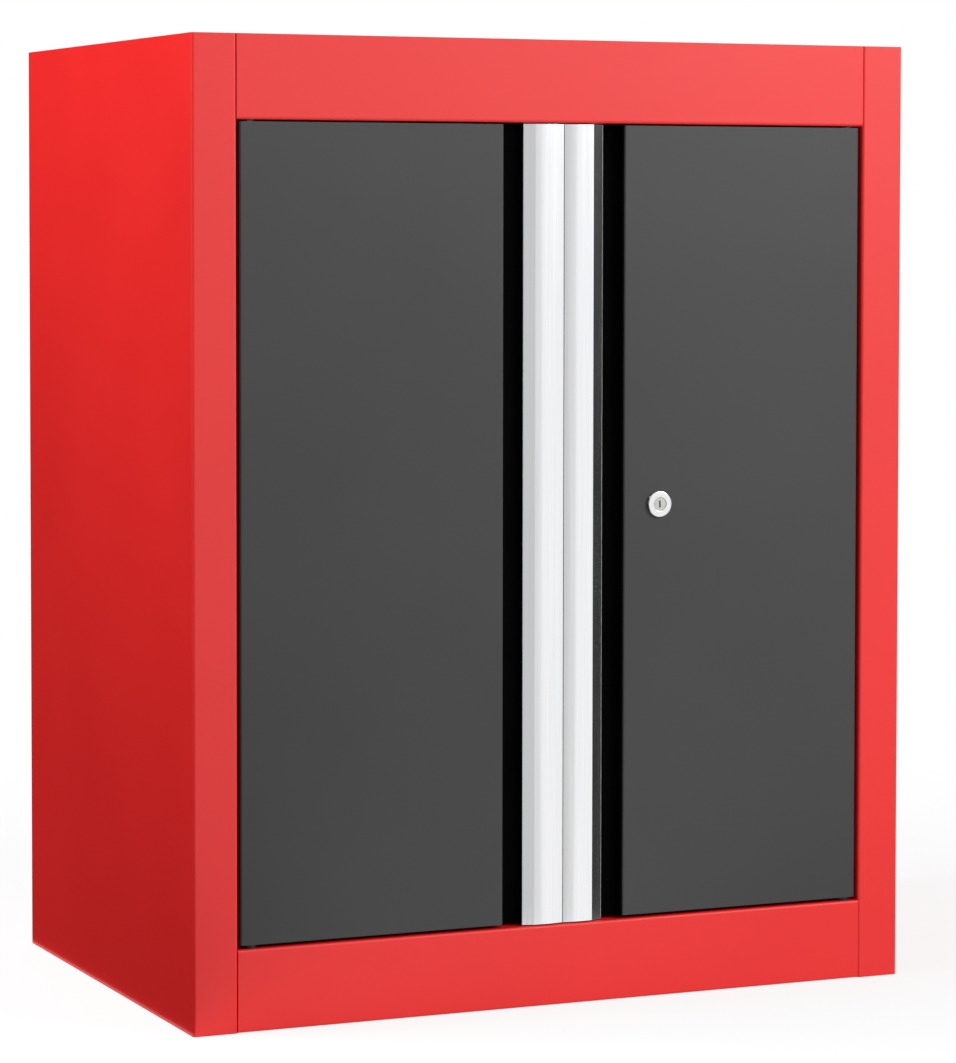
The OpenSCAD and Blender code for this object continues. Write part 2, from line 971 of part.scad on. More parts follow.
module handle(side) {
    color(aluminium)
        on_door(side)
            difference() {
                translate([0, 0, strip_z0])
                    linear_extrude(strip_z1 - strip_z0)
                        handle_2d();
                handle_screw_places()
                    rod_y(handle_screw_d / 2 + screw_clear, channel_depth - strip_wall - overcut,
                          channel_depth + overcut);
            }
}

module left_handle() { handle(LEFT); }
module right_handle() { handle(RIGHT); }

module handle_plugs(side) {
    color(aluminium)
        on_door(side)
            for (z = [strip_z0, strip_z1 - plug_len])
                box([strip_meet + strip_wall, strip_low + strip_wall, z],
                    [base_w - strip_wall, channel_depth - strip_wall, z + plug_len]);
}

module left_handle_plugs() { handle_plugs(LEFT); }
module right_handle_plugs() { handle_plugs(RIGHT); }

module handle_screws(side) {
    head = channel_depth + door_sheet;
    color(steel)
        on_door(side)
            handle_screw_places() {
                rod_y(handle_screw_d / 2, channel_depth - strip_wall - handle_screw_tail, head);
                rod_y(handle_screw_head / 2, head, head + handle_screw_head_t);
            }
}

module left_handle_screws() { handle_screws(LEFT); }
module right_handle_screws() { handle_screws(RIGHT); }

module pivot_pins(side) {
    color(steel)
        on_door(side)
            translate([pivot_x(side), pivot_y, 0]) {
                translate([0, 0, door_z1 - pin_grip])
                    cylinder(r = pin_d / 2, h = pin_grip + top_gap + pin_reach);
                translate([0, 0, door_z0 - bottom_gap - pin_reach])
                    cylinder(r = pin_d / 2, h = pin_grip + bottom_gap + pin_reach);
            }
}

module left_pivot_pins() { pivot_pins(LEFT); }
module right_pivot_pins() { pivot_pins(RIGHT); }

module pivot_brackets(side) {
    outer = door_hinge(side) - door_sheet;
    span = pin_grip - door_sheet;
    color(steel)
        on_door(side)
            difference() {
                for (z = [door_z0 + door_sheet, door_z1 - door_sheet - span])
                    difference() {
                        box([outer - bracket_w, door_face + door_fold_r, z],
                            [outer, door_back - inner_fold - bracket_clear, z + span]);
                        box([outer - bracket_w - overcut, 0, z + bracket_t],
                            [outer - bracket_t, door_back, z + span - bracket_t]);
                    }
                pivot_bore(side, 0);
            }
}

module left_pivot_brackets() { pivot_brackets(LEFT); }
module right_pivot_brackets() { pivot_brackets(RIGHT); }

washer_gap = 0.2;

module thrust_washer(side) {
    z0 = bottom_rail_h + bush_flange_t + washer_gap;
    color(nylon)
        on_door(side)
            translate([pivot_x(side), pivot_y, z0])
                difference() {
                    cylinder(r = bush_flange_r, h = door_z0 - z0);
                    translate([0, 0, -overcut])
                        cylinder(r = pin_d / 2, h = bottom_gap + 2 * overcut);
                }
}

module left_thrust_washer() { thrust_washer(LEFT); }
module right_thrust_washer() { thrust_washer(RIGHT); }

module catch_strike(side) {
    z1 = open_top - strike_mid + strike_size[1] / 2;
    color(steel)
        on_door(side)
            box([channel_edge + catch_in - strike_size[0] / 2, door_back,
                 min(z1, door_z1) - strike_size[1]],
                [channel_edge + catch_in + strike_size[0] / 2, door_back + strike_t,
                 min(z1, door_z1)]);
}

module left_catch_strike() { catch_strike(LEFT); }
module right_catch_strike() { catch_strike(RIGHT); }

latch_keeper_h = 34;

module left_latch_keeper() {
    x0 = door_meet + door_sheet;
    y0 = channel_depth + door_fold_r;
    color(steel)
        on_door(LEFT)
            difference() {
                box([x0, y0, latch_z - latch_keeper_h / 2],
                    [x0 + keeper_t, door_back - inner_fold, latch_z + latch_keeper_h / 2]);
                latch_slot(rod_clear);
            }
}

// ---- Lock on the right door ----

module lock_housing() {
    color(aluminium)
        on_lock()
            rotate([-90, 0, 0])
                rotate_extrude()
                    polygon([[plug_d / 2 + run_clear, door_face - lock_ring_out],
                             [lock_ring_d / 2 - ring_chamfer, door_face - lock_ring_out],
                             [lock_ring_d / 2, door_face - lock_ring_out + ring_chamfer],
                             [lock_ring_d / 2, door_face], [lock_barrel_d / 2, door_face],
                             [lock_barrel_d / 2, barrel_end],
                             [plug_d / 2 + run_clear, barrel_end]]);
}

module lock_nut() {
    color(steel)
        on_lock()
            translate([0, door_face + door_sheet, 0])
                rotate([-90, 0, 0])
                    difference() {
                        cylinder(d = nut_across / cos(30), h = nut_t, $fn = 6);
                        translate([0, 0, -overcut])
                            cylinder(r = lock_barrel_d / 2 + screw_clear,
                                     h = nut_t + 2 * overcut);
                    }
}

plug_recess = 0.6;
cam_screw_over = 1;
cam_screw_t = 2;
cam_y = barrel_end + cam_gap;

module lock_plug() {
    face = door_face - lock_ring_out + plug_recess;
    color(steel)
        on_lock()
            difference() {
                union() {
                    rod_y(plug_d / 2, face, barrel_end);
                    box([-tang / 2, barrel_end, -tang / 2], [tang / 2, cam_y + cam_t, tang / 2]);
                }
                box([-key_slot[0] / 2, face - overcut, -key_slot[1] / 2],
                    [key_slot[0] / 2, face + key_slot[2], key_slot[1] / 2]);
            }
}

module lock_cam() {
    half_tang = tang / 2 + tang_clear;
    color(steel)
        on_lock()
            difference() {
                union() {
                    rod_y(cam_r, cam_y, cam_y + cam_t);
                    for (a = [-45, 45, 135])
                        translate([crank_r * cos(a), 0, crank_r * sin(a)])
                            rod_y(crank_pin_d / 2, cam_y + cam_t / 2, pin_end);
                }
                box([-half_tang, cam_y - overcut, -half_tang],
                    [half_tang, cam_y + cam_t + overcut, half_tang]);
            }
}

module cam_screw() {
    color(steel)
        on_lock()
            rod_y(tang / 2 + cam_screw_over, cam_y + cam_t, cam_y + cam_t + cam_screw_t);
}

// A flat bar along +Z, driven by a crank pin that starts at minus 45 degrees
module crank_bar(tip) {
    head_lo = -crank_lo - slot_half - head_wall;
    head_hi = -crank_lo + slot_half + head_wall;
    slot_x0 = crank_lo - crank_pin_d / 2 - slot_end_clear;
    slot_x1 = crank_r + crank_pin_d / 2 + slot_end_clear;
    difference() {
        union() {
            box([slot_x0 - head_wall, rod_y, head_lo], [rod_in + rod_w, rod_y + rod_t, head_hi]);
            box([rod_in, rod_y, head_lo], [rod_in + rod_w, rod_y + rod_t, tip]);
        }
        box([slot_x0, rod_y - overcut, -crank_lo - slot_half],
            [slot_x1, rod_y + rod_t + overcut, -crank_lo + slot_half]);
    }
}

module upper_lock_rod() {
    color(steel)
        on_lock()
            crank_bar(door_z1 - rod_tip_back - lock_z);
}

module lower_lock_rod() {
    color(steel)
        on_lock()
            rotate([0, 180, 0])
                crank_bar(lock_z - door_z0 - rod_tip_back);
}

module latch_bar() {
    color(steel)
        on_lock()
            rotate([0, -90, 0])
                crank_bar(lock_in - latch_rest);
}

guide_end = 60;
guide_mid = 180;
guide_wall = 4;

// A nylon block round a rod, drawn in the frame of a bar along +Z
module guide(z) {
    difference() {
        box([rod_mid - guide_size[0] / 2, door_face + door_sheet, z - guide_size[1] / 2],
            [rod_mid + guide_size[0] / 2, rod_y + rod_t + guide_wall, z + guide_size[1] / 2]);
        box([rod_in - rod_clear, rod_y - rod_clear, z - guide_size[1]],
            [rod_in + rod_w + rod_clear, rod_y + rod_t + rod_clear, z + guide_size[1]]);
    }
}

// A block behind the finger channel, round the latch bar
module latch_guide(z) {
    intersection() {
        guide(z);
        box([0, channel_depth + door_sheet, 0], [body_w, door_back, body_h]);
    }
}

module rod_guides() {
    color(nylon)
        on_lock() {
            for (z = [door_z1 - lock_z - guide_end, guide_mid])
                guide(z);
            rotate([0, 180, 0])
                for (z = [lock_z - door_z0 - guide_end, guide_mid])
                    guide(z);
            rotate([0, -90, 0])
                latch_guide(lock_in - base_w / 2 - handle_screw_head);
        }
}

left_side_panel();
right_side_panel();
back_panel();
top_panel();
top_front_rail();
bottom_front_rail();
floor_panel();
rear_top_stiffener();
rear_base_stiffener();
foot_brackets();
foot_nuts();
left_shelf_standards();
right_shelf_standards();
shelf_clips();
shelf();
shelf_stiffener();
hinge_bushes();
catch_housings();
catch_magnets();
catch_screws();
door_bumpers();
back_rivets();
lock_keepers();
left_door_skin();
left_door_inner_panel();
left_finger_channel();
left_handle();
left_handle_plugs();
left_handle_screws();
left_pivot_pins();
left_pivot_brackets();
left_thrust_washer();
left_catch_strike();
left_latch_keeper();
right_door_skin();
right_door_inner_panel();
right_finger_channel();
right_handle();
right_handle_plugs();
right_handle_screws();
right_pivot_pins();
right_pivot_brackets();
right_thrust_washer();
right_catch_strike();
rod_guides();
lock_housing();
lock_nut();
lock_plug();
lock_cam();
cam_screw();
upper_lock_rod();
lower_lock_rod();
latch_bar();
front_left_foot();
front_right_foot();
rear_left_foot();
rear_right_foot();
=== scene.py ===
import json
import math

import bmesh
import bpy
from mathutils import Matrix, Vector


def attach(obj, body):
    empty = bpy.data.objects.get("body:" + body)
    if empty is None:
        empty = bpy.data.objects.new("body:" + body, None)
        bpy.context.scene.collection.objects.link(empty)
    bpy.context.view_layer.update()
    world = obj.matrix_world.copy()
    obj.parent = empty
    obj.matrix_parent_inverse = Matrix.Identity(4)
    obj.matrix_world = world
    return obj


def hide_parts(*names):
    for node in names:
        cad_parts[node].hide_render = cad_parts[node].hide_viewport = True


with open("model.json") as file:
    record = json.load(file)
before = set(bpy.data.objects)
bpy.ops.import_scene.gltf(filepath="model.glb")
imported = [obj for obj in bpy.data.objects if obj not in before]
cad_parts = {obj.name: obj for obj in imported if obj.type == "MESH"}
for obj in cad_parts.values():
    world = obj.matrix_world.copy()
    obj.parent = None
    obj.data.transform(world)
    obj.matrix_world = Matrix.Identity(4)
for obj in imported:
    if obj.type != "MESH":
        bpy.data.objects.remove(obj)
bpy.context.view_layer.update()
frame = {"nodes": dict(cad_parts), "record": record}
nodes = frame["nodes"]

# ---- Node helpers ----

# A noise mostly stays between these two
NOISE_LOW = 0.3
NOISE_HIGH = 0.7
BEVEL_SAMPLES = 3
# Radii, in metres, over which the normals of sharp edges are softened
SOFT_SHEET = 0.0008
SOFT_EXTRUDED = 0.0004
SOFT_SMALL = 0.0003
# How far softened normals turn before an edge counts in full, and how much of the lighter tone is
# painted onto edges as a painted highlight
EDGE_GAIN = 0.12
EDGE_HIGHLIGHT_SHARE = 0.35
# Share of zinc's tone that its spangle sets, and the tone where the spangle is black
SPANGLE_SHARE = 0.5
SPANGLE_BASE = 0.1


class Mat:
    """A node material with short calls for the nodes used here."""

    def __init__(self, name):
        self.m = bpy.data.materials.new(name)
        self.m.use_nodes = True
        self.t = self.m.node_tree
        self.t.nodes.clear()
        self.out = self.t.nodes.new("ShaderNodeOutputMaterial")
        self.bsdf = self.t.nodes.new("ShaderNodeBsdfPrincipled")
        self.link(self.bsdf.outputs[0], self.out.inputs[0])
        self.coord = self.t.nodes.new("ShaderNodeTexCoord").outputs["Object"]

    def link(self, a, b):
        self.t.links.new(a, b)

    def put(self, socket, value):
        if isinstance(value, bpy.types.NodeSocket):
            self.link(value, socket)
        else:
            socket.default_value = value

    def scaled(self, x, y, z):
        n = self.t.nodes.new("ShaderNodeMapping")
        self.link(self.coord, n.inputs[0])
        n.inputs["Scale"].default_value = (x, y, z)
        return n.outputs[0]

    def noise(self, scale, detail, rough=0.5, at=None):
        n = self.t.nodes.new("ShaderNodeTexNoise")
        self.link(at or self.coord, n.inputs["Vector"])
        n.inputs["Scale"].default_value = scale
        n.inputs["Detail"].default_value = detail
        n.inputs["Roughness"].default_value = rough
        return n.outputs["Fac"]

    def cells(self, scale):
        n = self.t.nodes.new("ShaderNodeTexVoronoi")
        self.link(self.coord, n.inputs["Vector"])
        n.inputs["Scale"].default_value = scale
        return n.outputs["Color"]

    def span(self, value, lo, hi, to_lo, to_hi, smooth=False):
        """A value between lo and hi, spread from to_lo to to_hi and held beyond them."""
        n = self.t.nodes.new("ShaderNodeMapRange")
        if smooth:
            n.interpolation_type = "SMOOTHSTEP"
        self.link(value, n.inputs["Value"])
        for key, v in zip(("From Min", "From Max", "To Min", "To Max"), (lo, hi, to_lo, to_hi)):
            n.inputs[key].default_value = v
        return n.outputs[0]

    def vary(self, noise, to_lo, to_hi):
        """A noise spread from to_lo to to_hi over the range that it mostly keeps to."""
        return self.span(noise, NOISE_LOW, NOISE_HIGH, to_lo, to_hi)

    def math(self, op, a, b):
        n = self.t.nodes.new("ShaderNodeMath")
        n.operation = op
        self.put(n.inputs[0], a)
        self.put(n.inputs[1], b)
        return n.outputs[0]

    def mix(self, fac, a, b):
        n = self.t.nodes.new("ShaderNodeMix")
        n.data_type = "RGBA"
        self.put(n.inputs["Factor"], fac)
        self.put(n.inputs["A"], a)
        self.put(n.inputs["B"], b)
        return n.outputs["Result"]

    def soften(self, radius):
        """Softened normals along sharp edges."""
        bevel = self.t.nodes.new("ShaderNodeBevel")
        bevel.samples = BEVEL_SAMPLES
        bevel.inputs["Radius"].default_value = radius
        self.soft = bevel.outputs[0]

    def edges(self, gain):
        """1 along folded and cut edges, 0 on flats."""
        geo = self.t.nodes.new("ShaderNodeNewGeometry")
        dot = self.t.nodes.new("ShaderNodeVectorMath")
        dot.operation = "DOT_PRODUCT"
        self.link(self.soft, dot.inputs[0])
        self.link(geo.outputs["Normal"], dot.inputs[1])
        return self.span(dot.outputs["Value"], 1.0, 1.0 - gain, 0.0, 1.0)

    def bumps(self, *layers):
        """Layers of (height, strength, distance), the coarsest first, over softened edges."""
        normal = self.soft
        for height, strength, distance in layers:
            n = self.t.nodes.new("ShaderNodeBump")
            self.link(height, n.inputs["Height"])
            n.inputs["Strength"].default_value = strength
            n.inputs["Distance"].default_value = distance
            self.link(normal, n.inputs["Normal"])
            normal = n.outputs[0]
        self.link(normal, self.bsdf.inputs["Normal"])

    def set(self, **sockets):
        for key, value in sockets.items():
            self.put(self.bsdf.inputs[key.replace("_", " ")], value)


def rgb(r, g, b):
    """An sRGB colour of 0 to 255 as linear values, by the sRGB curve."""

    def lin(v):
        v /= 255
        return v / 12.92 if v <= 0.04045 else ((v + 0.055) / 1.055) ** 2.4

    return (lin(r), lin(g), lin(b), 1.0)


def paint(name, base, dark, light, edge_highlight, roughness, gloss):
    """Powder coat: fine orange peel, slow colour drift, handling haze, and a painted highlight
    that lightens the edges in patches.
    """
    m = Mat(name)
    drift = m.noise(2.3, 3.0)
    fine = m.noise(420.0, 2.0)
    peel = m.noise(190.0, 2.0)
    grit = m.noise(1500.0, 1.0)
    haze = m.noise(9.0, 4.0, 0.6)
    edge_patches = m.noise(55.0, 3.0, 0.65)
    colour = m.mix(m.vary(drift, 0.0, 1.0), dark, light)
    colour = m.mix(m.span(fine, 0.35, 0.75, 0.0, 0.35), colour, base)
    m.soften(SOFT_SHEET)
    # Painted highlight: folded and cut edges shift in patches towards a lighter tone
    edge = m.math("MULTIPLY", m.edges(EDGE_GAIN), m.span(edge_patches, 0.42, 0.62, 0.1, 0.9))
    colour = m.mix(m.math("MULTIPLY", edge, EDGE_HIGHLIGHT_SHARE), colour, edge_highlight)
    rough = m.math("ADD", m.vary(haze, roughness - 0.015, roughness + 0.02),
                   m.vary(grit, -0.02, 0.02))
    m.bumps((peel, 0.10, 0.0004), (grit, 0.06, 0.00012))
    m.set(Base_Color=colour, Roughness=rough, Specular_IOR_Level=gloss)
    return m.m


def moulded(name, dark, light, roughness, gloss, grain=900.0):
    """Moulded plastic or rubber with a fine spark-eroded grain."""
    m = Mat(name)
    drift = m.noise(14.0, 3.0)
    skin = m.noise(grain, 2.0, 0.6)
    scuff = m.noise(60.0, 4.0, 0.7, m.scaled(1.0, 1.0, 0.25))
    m.soften(SOFT_SMALL)
    m.bumps((skin, 0.25, 0.0001))
    m.set(Base_Color=m.mix(m.vary(drift, 0.0, 1.0), dark, light),
          Roughness=m.vary(scuff, roughness - 0.06, roughness + 0.06),
          Specular_IOR_Level=gloss)
    return m.m


def extruded(name, dark, light, roughness):
    """Satin anodised extrusion, with faint die lines along its length."""
    m = Mat(name)
    lines = m.noise(1.0, 3.0, 0.6, m.scaled(2600.0, 2600.0, 6.0))
    wide = m.noise(1.0, 2.0, 0.5, m.scaled(420.0, 420.0, 2.0))
    frost = m.noise(2200.0, 1.0)
    smudge = m.noise(11.0, 4.0, 0.6)
    colour = m.mix(m.vary(lines, 0.0, 1.0), dark, light)
    rough = m.math("ADD", m.vary(smudge, roughness - 0.01, roughness + 0.015),
                   m.vary(lines, -0.03, 0.03))
    m.soften(SOFT_EXTRUDED)
    m.bumps((wide, 0.03, 0.00015), (lines, 0.12, 0.00006), (frost, 0.05, 0.00003))
    m.set(Base_Color=colour, Metallic=1.0, Roughness=rough)
    return m.m


def zinc(name, dark, light, roughness, spangle):
    """Zinc-plated sheet or screw, with a soft spangle and rolling lines."""
    m = Mat(name)
    grains = m.cells(spangle)
    grey = m.t.nodes.new("ShaderNodeRGBToBW")
    m.link(grains, grey.inputs[0])
    lines = m.noise(1.0, 3.0, 0.6, m.scaled(3.0, 900.0, 900.0))
    tarnish = m.noise(18.0, 4.0, 0.65)
    blend = m.math("MULTIPLY_ADD", grey.outputs[0], SPANGLE_SHARE)
    blend.node.inputs[2].default_value = SPANGLE_BASE
    colour = m.mix(blend, dark, light)
    colour = m.mix(m.span(tarnish, 0.45, 0.75, 0.0, 0.25), colour, dark)
    rough = m.math("ADD", m.vary(tarnish, roughness - 0.05, roughness + 0.1),
                   m.vary(lines, -0.04, 0.04))
    m.soften(SOFT_SMALL)
    m.bumps((lines, 0.08, 0.00005))
    m.set(Base_Color=colour, Metallic=1.0, Roughness=rough)
    return m.m


def polished(name, dark, light, roughness):
    """Turned and plated metal with faint turning marks round its own axis."""
    m = Mat(name)
    swirl = m.noise(1.0, 3.0, 0.6, m.scaled(500.0, 3500.0, 500.0))
    dull = m.noise(140.0, 3.0, 0.6)
    m.soften(SOFT_SMALL)
    m.bumps((swirl, 0.06, 0.00003))
    m.set(Base_Color=m.mix(m.span(dull, 0.35, 0.7, 0.0, 1.0), light, dark), Metallic=1.0,
          Roughness=m.vary(dull, roughness, roughness + 0.12))
    return m.m


SLOTS = {
    # The fourth colour of each paint is the lighter tone of its painted edge highlight
    "shell_paint": paint("shell_paint", rgb(221, 22, 21), rgb(215, 20, 19), rgb(226, 25, 23),
                         rgb(238, 84, 76), 0.46, 0.50),
    "door_paint": paint("door_paint", rgb(56, 56, 57), rgb(53, 53, 54), rgb(59, 59, 60),
                        rgb(92, 92, 92), 0.43, 0.32),
    # The channel liner's near-black tone is painted shade of the deep finger channel, darker than
    # black plastic itself
    "channel_plastic": moulded("channel_plastic", rgb(3, 3, 3), rgb(6, 6, 6), 0.70, 0.01),
    "handle_aluminium": extruded("handle_aluminium", rgb(234, 235, 237), rgb(245, 245, 246), 0.13),
    "rubber": moulded("rubber", rgb(18, 18, 18), rgb(26, 26, 26), 0.75, 0.2, 600.0),
    "foot_plastic": moulded("foot_plastic", rgb(20, 20, 21), rgb(28, 28, 29), 0.55, 0.3),
    "nylon": moulded("nylon", rgb(20, 20, 20), rgb(27, 27, 27), 0.50, 0.3),
    "lock_chrome": polished("lock_chrome", rgb(225, 226, 227), rgb(238, 238, 238), 0.12),
    "lock_nickel": polished("lock_nickel", rgb(180, 178, 174), rgb(200, 198, 194), 0.24),
    "shelf_zinc": zinc("shelf_zinc", rgb(168, 171, 175), rgb(205, 208, 212), 0.38, 120.0),
    "zinc_steel": zinc("zinc_steel", rgb(176, 178, 181), rgb(212, 214, 216), 0.30, 400.0),
}

for row in frame["record"]["subparts"]:
    mesh = nodes[row["node"]].data
    mesh.materials.clear()
    mesh.materials.append(SLOTS[row["material_slot"]])

# ---- Lock ring ----

# The bore, the barrel and the ring's thickness are the solid's. The two roundings are added.
RING_SEGMENTS = 128
RING_STEPS = 6
RING_ROUND = 0.0008
RING_MOUTH = 0.0003
RING_BORE = 0.00608
RING_THICK = 0.003
BARREL_R = 0.009
# Edges that turn by less than this are shaded smooth
SHARP = math.radians(25)


def quarter(centre, radius, start):
    """Points of a quarter round, turning forwards from an angle in degrees."""
    turns = [math.radians(start + 90 * k / RING_STEPS) for k in range(RING_STEPS + 1)]
    return [(centre[0] + radius * math.cos(t), centre[1] + radius * math.sin(t)) for t in turns]


def turned(name, profile, axis):
    """A closed profile of (radius, Y) turned round a line along Y through axis."""
    bm = bmesh.new()
    rings = []
    for k in range(RING_SEGMENTS):
        turn = 2 * math.pi * k / RING_SEGMENTS
        rings.append([bm.verts.new((axis.x + r * math.cos(turn), y, axis.z + r * math.sin(turn)))
                      for r, y in profile])
    for k, near in enumerate(rings):
        far = rings[(k + 1) % RING_SEGMENTS]
        for i in range(len(profile)):
            j = (i + 1) % len(profile)
            bm.faces.new((near[i], near[j], far[j], far[i])).smooth = True
    bmesh.ops.recalc_face_normals(bm, faces=bm.faces)
    for edge in bm.edges:
        edge.smooth = edge.calc_face_angle(0.0) < SHARP
    mesh = bpy.data.meshes.new(name)
    bm.to_mesh(mesh)
    bm.free()
    piece = bpy.data.objects.new(name, mesh)
    bpy.context.scene.collection.objects.link(piece)
    return piece


def make_lock_ring():
    """The lock's ring and barrel, as in the solid, with a rounded rim and mouth."""
    node = nodes["lock_housing"]
    corners = [node.matrix_world @ Vector(c) for c in node.bound_box]
    low = Vector(map(min, zip(*corners)))
    high = Vector(map(max, zip(*corners)))
    rim_r = (high.z - low.z) / 2
    profile = (quarter((rim_r - RING_ROUND, low.y + RING_ROUND), RING_ROUND, -90)
               + [(rim_r, low.y + RING_THICK), (BARREL_R, low.y + RING_THICK),
                  (BARREL_R, high.y), (RING_BORE, high.y)]
               + quarter((RING_BORE + RING_MOUTH, low.y + RING_MOUTH), RING_MOUTH, 180))
    piece = turned("lock_ring", profile, (low + high) / 2)
    piece.data.materials.append(SLOTS["lock_chrome"])
    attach(piece, "right_door")
    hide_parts("lock_housing")


make_lock_ring()

# ---- Floor and light ----

WHITE = (1.0, 1.0, 1.0, 1.0)
AMBIENT = 0.44
FLOOR_HALF = 14.0
FLOOR_PALE = 0.85
FLOOR_ROUGH = 0.9
# The floor glows by FLOOR_GLOW up to FADE_START from the middle, and is plain white past FADE_END
FLOOR_GLOW = 0.80
FADE_START = 0.55
FADE_END = 1.5
# The floor left of CLOTH_X and behind CLOTH_Y sends little light up, with an edge this soft
CLOTH_X = -0.341
CLOTH_Y = -0.8
CLOTH_EDGE = 0.004
CLOTH_FAR_X = -2.60
CLOTH_FAR_Y = 2.9
# Tones of the cards
DARK = 0.03
GREY = 0.64
PALE = 0.79
FLAG_LIFT = 0.002
CARD_HEIGHT = 2.6
CARD_NEAR = 0.34
FAR_REACH = 3.6
NEAR_REACH = 3.0
HANDLE_Y = -0.23
SIDE_CARD = ((CLOTH_FAR_X, 1.20), (-0.20, 3.20))
# Name, first and last bearing in degrees, reach and tone
SECTORS = (
    ("far_left_flag", -75.0, -20.0, FAR_REACH, DARK),
    ("left_flag", -20.0, 8.5, FAR_REACH, GREY),
    ("pale_flag", 8.5, 17.0, FAR_REACH, PALE),
    ("right_flag", 49.0, 70.0, NEAR_REACH, DARK),
)
# Name, place, target, size and watts
LAMPS = (
    ("key_softbox", (2.4, -2.9, 2.1), (0.0, -0.2, 0.42), (2.2, 1.8), 114.0),
    ("side_softbox", (-1.5, 0.1, 2.1), (-0.34, 0.0, 0.8), (0.9, 0.9), 51.0),
)


def seen_directly(tree):
    """1 for rays from the camera, off a gloss or through glass, 0 for diffuse light."""
    path = tree.nodes.new("ShaderNodeLightPath")
    total = None
    for key in ("Is Camera Ray", "Is Glossy Ray", "Is Transmission Ray"):
        if total is None:
            total = path.outputs[key]
            continue
        add = tree.nodes.new("ShaderNodeMath")
        add.operation = "MAXIMUM"
        tree.links.new(total, add.inputs[0])
        tree.links.new(path.outputs[key], add.inputs[1])
        total = add.outputs[0]
    return total


def make_world():
    world = bpy.data.worlds.new("studio")
    bpy.context.scene.world = world
    world.use_nodes = True
    tree = world.node_tree
    tree.nodes.clear()
    out = tree.nodes.new("ShaderNodeOutputWorld")
    mix = tree.nodes.new("ShaderNodeMixShader")
    ambient = tree.nodes.new("ShaderNodeBackground")
    ambient.inputs[0].default_value = WHITE
    ambient.inputs[1].default_value = AMBIENT
    backdrop = tree.nodes.new("ShaderNodeBackground")
    backdrop.inputs[0].default_value = WHITE
    backdrop.inputs[1].default_value = 1.0
    tree.links.new(seen_directly(tree), mix.inputs[0])
    tree.links.new(ambient.outputs[0], mix.inputs[1])
    tree.links.new(backdrop.outputs[0], mix.inputs[2])
    tree.links.new(mix.outputs[0], out.inputs[0])


def make_floor():
    """A pale floor that keeps the soft shadow and fades to white, dim in the light it sends up
    beside the cabinet's left side, as a dark cloth there would make it."""
    half = FLOOR_HALF
    mesh = bpy.data.meshes.new("floor")
    mesh.from_pydata([(-half, -half, 0), (half, -half, 0), (half, half, 0), (-half, half, 0)],
                     [], [(0, 1, 2, 3)])
    floor = bpy.data.objects.new("floor", mesh)
    bpy.context.scene.collection.objects.link(floor)
    m = Mat("floor")
    t = m.t
    length = t.nodes.new("ShaderNodeVectorMath")
    length.operation = "LENGTH"
    m.link(m.coord, length.inputs[0])
    away = m.span(length.outputs["Value"], FADE_START, FADE_END,
                  FLOOR_GLOW, 1.0, smooth=True)
    glow = t.nodes.new("ShaderNodeEmission")
    glow.inputs[0].default_value = WHITE
    glow.inputs[1].default_value = 1.0
    m.bsdf.inputs["Base Color"].default_value = (FLOOR_PALE, FLOOR_PALE, FLOOR_PALE, 1.0)
    m.bsdf.inputs["Roughness"].default_value = FLOOR_ROUGH
    m.bsdf.inputs["Specular IOR Level"].default_value = 0.0
    mix = t.nodes.new("ShaderNodeMixShader")
    m.link(m.math("MULTIPLY", seen_directly(t), away), mix.inputs[0])
    m.link(m.bsdf.outputs[0], mix.inputs[1])
    m.link(glow.outputs[0], mix.inputs[2])
    place = t.nodes.new("ShaderNodeSeparateXYZ")
    m.link(m.coord, place.inputs[0])
    beside = m.math("MULTIPLY",
                    m.span(place.outputs["X"], CLOTH_X - CLOTH_EDGE, CLOTH_X, 1.0, 0.0),
                    m.span(place.outputs["Y"], CLOTH_Y - CLOTH_EDGE, CLOTH_Y, 0.0, 1.0))
    path = t.nodes.new("ShaderNodeLightPath")
    cloth = t.nodes.new("ShaderNodeEmission")
    cloth.inputs[0].default_value = WHITE
    cloth.inputs[1].default_value = DARK
    dimmed = t.nodes.new("ShaderNodeMixShader")
    m.link(m.math("MULTIPLY", beside, path.outputs["Is Diffuse Ray"]), dimmed.inputs[0])
    m.link(mix.outputs[0], dimmed.inputs[1])
    m.link(cloth.outputs[0], dimmed.inputs[2])
    m.link(dimmed.outputs[0], m.out.inputs[0])
    mesh.materials.append(m.m)


def lamp(name, place, target, size, power):
    """A soft rectangular lamp, turned to face its target."""
    data = bpy.data.lights.new(name, "AREA")
    data.shape = "RECTANGLE"
    data.size, data.size_y = size
    data.energy = power
    lit = bpy.data.objects.new(name, data)
    bpy.context.scene.collection.objects.link(lit)
    lit.location = place
    aim = Vector(target) - Vector(place)
    lit.rotation_euler = aim.to_track_quat("-Z", "Y").to_euler()


def flag(name, corners, tone):
    """A grey card beside the set, seen only as a reflection darker than the white round it."""
    mesh = bpy.data.meshes.new(name)
    mesh.from_pydata(corners, [], [(0, 1, 2, 3)])
    card = bpy.data.objects.new(name, mesh)
    bpy.context.scene.collection.objects.link(card)
    m = Mat(name)
    glow = m.t.nodes.new("ShaderNodeEmission")
    glow.inputs[0].default_value = WHITE
    glow.inputs[1].default_value = tone
    m.link(glow.outputs[0], m.out.inputs[0])
    m.t.nodes.remove(m.bsdf)
    mesh.materials.append(m.m)
    card.visible_camera = False
    card.visible_diffuse = False
    card.visible_shadow = False


def standing(a, b, height):
    """Corners of an upright card over the floor line from a to b."""
    return [(*a, 0.0), (*b, 0.0), (*b, height), (*a, height)]


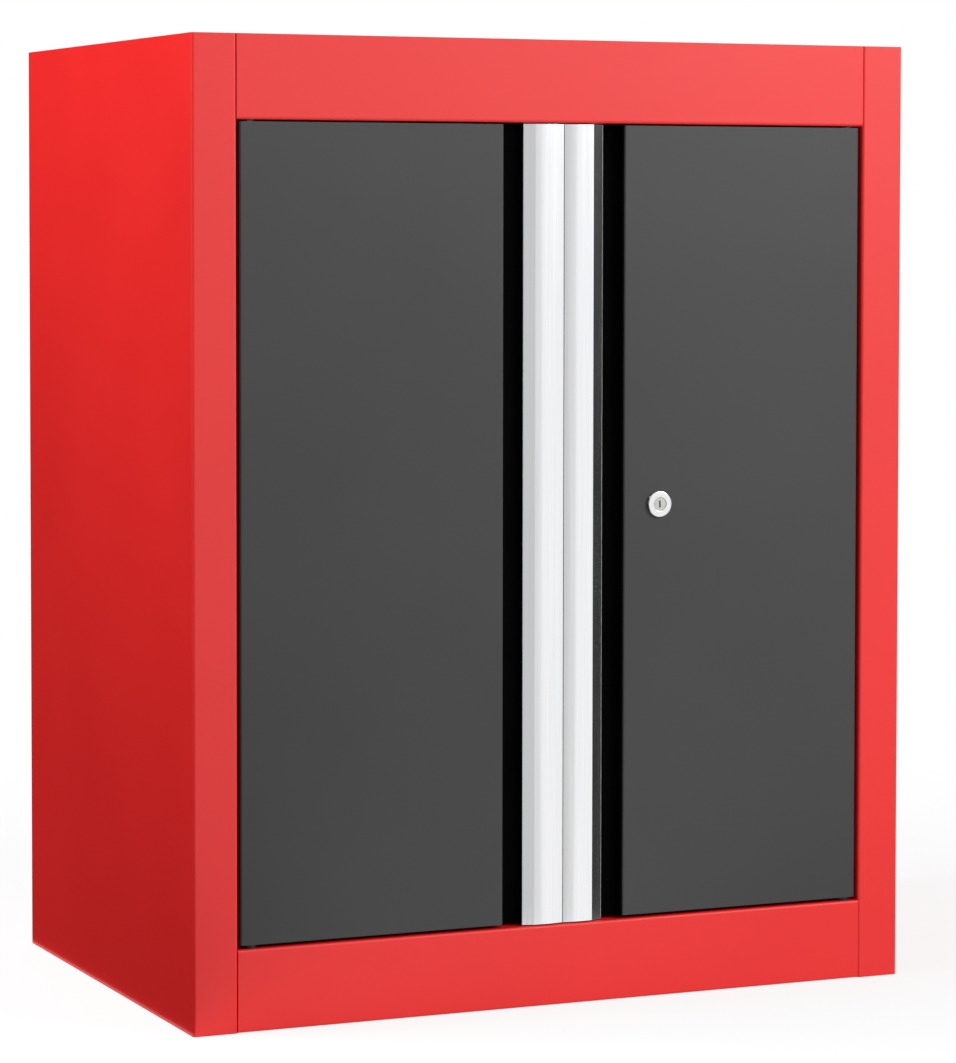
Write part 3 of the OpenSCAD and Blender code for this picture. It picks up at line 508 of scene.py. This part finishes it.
def lying(*points):
    """Corners of a card lying just over the floor."""
    return [(x, y, FLAG_LIFT) for x, y in points]


def bearing(degrees, distance):
    """A place on the floor in front of the handles, by its bearing to the right of straight on."""
    turn = math.radians(degrees)
    return distance * math.sin(turn), HANDLE_Y - distance * math.cos(turn)


def sector(name, first, last, reach, tone):
    """A card standing in front between two bearings, and one on the floor up to its foot."""
    flag(name, standing(bearing(first, reach), bearing(last, reach), CARD_HEIGHT), tone)
    flag(name + "_floor", lying(bearing(first, CARD_NEAR), bearing(first, reach),
                                bearing(last, reach), bearing(last, CARD_NEAR)), tone)


make_world()
make_floor()
for row in LAMPS:
    lamp(*row)
flag("side_flag", standing(*SIDE_CARD, CARD_HEIGHT), DARK)
flag("side_floor_flag", lying((CLOTH_FAR_X, CLOTH_Y), (CLOTH_X, CLOTH_Y),
                              (CLOTH_X, CLOTH_FAR_Y), (CLOTH_FAR_X, CLOTH_FAR_Y)), DARK)
for row in SECTORS:
    sector(*row)

# ---- Camera ----

# Height of the photo and focal length in pixels, and the film width in millimetres
PHOTO_H = 1063
FOCAL_PX = 3832.9
SENSOR = 36.0
CAMERA_AT = (-1.4147, -3.2557, 0.6955)
# Degrees: to the right of straight on, up, and round the line of sight
YAW, PITCH, ROLL = 23.768, -2.70, 0.072
SHIFT_PX = (3.8, -138.7)

camera_data = bpy.data.cameras.new("camera")
camera_data.sensor_fit = "AUTO"
camera_data.sensor_width = SENSOR
camera_data.lens = FOCAL_PX * SENSOR / PHOTO_H
camera_data.shift_x, camera_data.shift_y = (v / PHOTO_H for v in SHIFT_PX)
camera = bpy.data.objects.new("camera", camera_data)
bpy.context.scene.collection.objects.link(camera)
camera.matrix_world = (Matrix.Translation(CAMERA_AT)
                       @ Matrix.Rotation(math.radians(-YAW), 4, "Z")
                       @ Matrix.Rotation(math.radians(90 + PITCH), 4, "X")
                       @ Matrix.Rotation(math.radians(ROLL), 4, "Z"))
bpy.context.scene.camera = camera
bpy.context.scene.view_settings.view_transform = "Standard"
